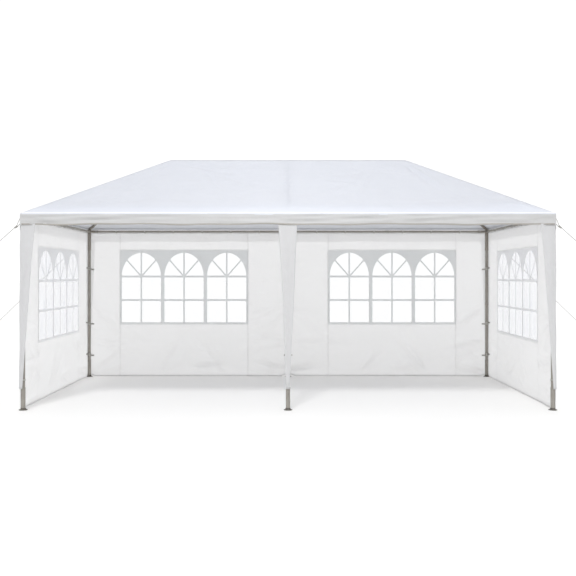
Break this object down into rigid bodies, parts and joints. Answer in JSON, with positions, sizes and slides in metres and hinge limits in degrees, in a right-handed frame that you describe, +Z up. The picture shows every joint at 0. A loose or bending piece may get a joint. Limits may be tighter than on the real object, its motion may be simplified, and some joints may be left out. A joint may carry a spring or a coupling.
{
  "type": "marquee tent",
  "caption": "Rectangular hip-roofed party tent on a steel tube frame, open along the front, walled with arched clear windows on the other sides and held by guy ropes.",
  "frame": {"origin": "on the ground under the middle of the tent, at the bottom centre of the bounding box", "axes": "+X along the ridge, to the right as seen from the open front; +Y from the open front to the back wall; +Z up"},
  "size_m": [10.6344, 3.6142, 3.0359],
  "materials": {
    "steel_tube": "powder coated, satin",
    "steel_joint": "powder coated, satin",
    "roof_sheeting": "coated woven sheeting, semi-matt",
    "wall_sheeting": "coated woven sheeting, semi-matt",
    "window_film": "clear, glossy",
    "rope": "braided, matt",
    "peg": "zinc plated"
  },
  "bodies": {
    "root": {"leg_front_left": "steel_tube", "leg_front_centre": "steel_tube", "leg_front_right": "steel_tube", "leg_back_left": "steel_tube", "leg_back_centre": "steel_tube", "leg_back_right": "steel_tube", "eave_connector_front_left": "steel_joint", "eave_connector_front_centre": "steel_joint", "eave_connector_front_right": "steel_joint", "eave_connector_back_left": "steel_joint", "eave_connector_back_centre": "steel_joint", "eave_connector_back_right": "steel_joint", "ridge_connector_left": "steel_joint", "ridge_connector_centre": "steel_joint", "ridge_connector_right": "steel_joint", "eave_bar_front_left": "steel_tube", "eave_bar_front_right": "steel_tube", "eave_bar_back_left": "steel_tube", "eave_bar_back_right": "steel_tube", "eave_bar_left_end": "steel_tube", "eave_bar_right_end": "steel_tube", "ridge_bar_left": "steel_tube", "ridge_bar_right": "steel_tube", "rafter_front_left": "steel_tube", "rafter_front_centre": "steel_tube", "rafter_front_right": "steel_tube", "rafter_back_left": "steel_tube", "rafter_back_centre": "steel_tube", "rafter_back_right": "steel_tube", "roof_cover_front": "roof_sheeting", "roof_cover_back": "roof_sheeting", "roof_cover_left": "roof_sheeting", "roof_cover_right": "roof_sheeting", "valance_front": "roof_sheeting", "valance_back": "roof_sheeting", "valance_left": "roof_sheeting", "valance_right": "roof_sheeting", "leg_flap_front_left": "roof_sheeting", "leg_flap_front_centre": "roof_sheeting", "leg_flap_front_right": "roof_sheeting", "leg_flap_back_left": "roof_sheeting", "leg_flap_back_centre": "roof_sheeting", "leg_flap_back_right": "roof_sheeting", "wall_back_left": "wall_sheeting", "wall_back_right": "wall_sheeting", "wall_left_end": "wall_sheeting", "wall_right_end": "wall_sheeting", "window_back_left": "window_film", "window_back_right": "window_film", "window_left_end": "window_film", "window_right_end": "window_film", "guy_rope_front_left": "rope", "guy_rope_front_right": "rope", "guy_rope_back_left": "rope", "guy_rope_back_right": "rope", "ground_peg_front_left": "peg", "ground_peg_front_right": "peg", "ground_peg_back_left": "peg", "ground_peg_back_right": "peg"}
  },
  "joints": []
}
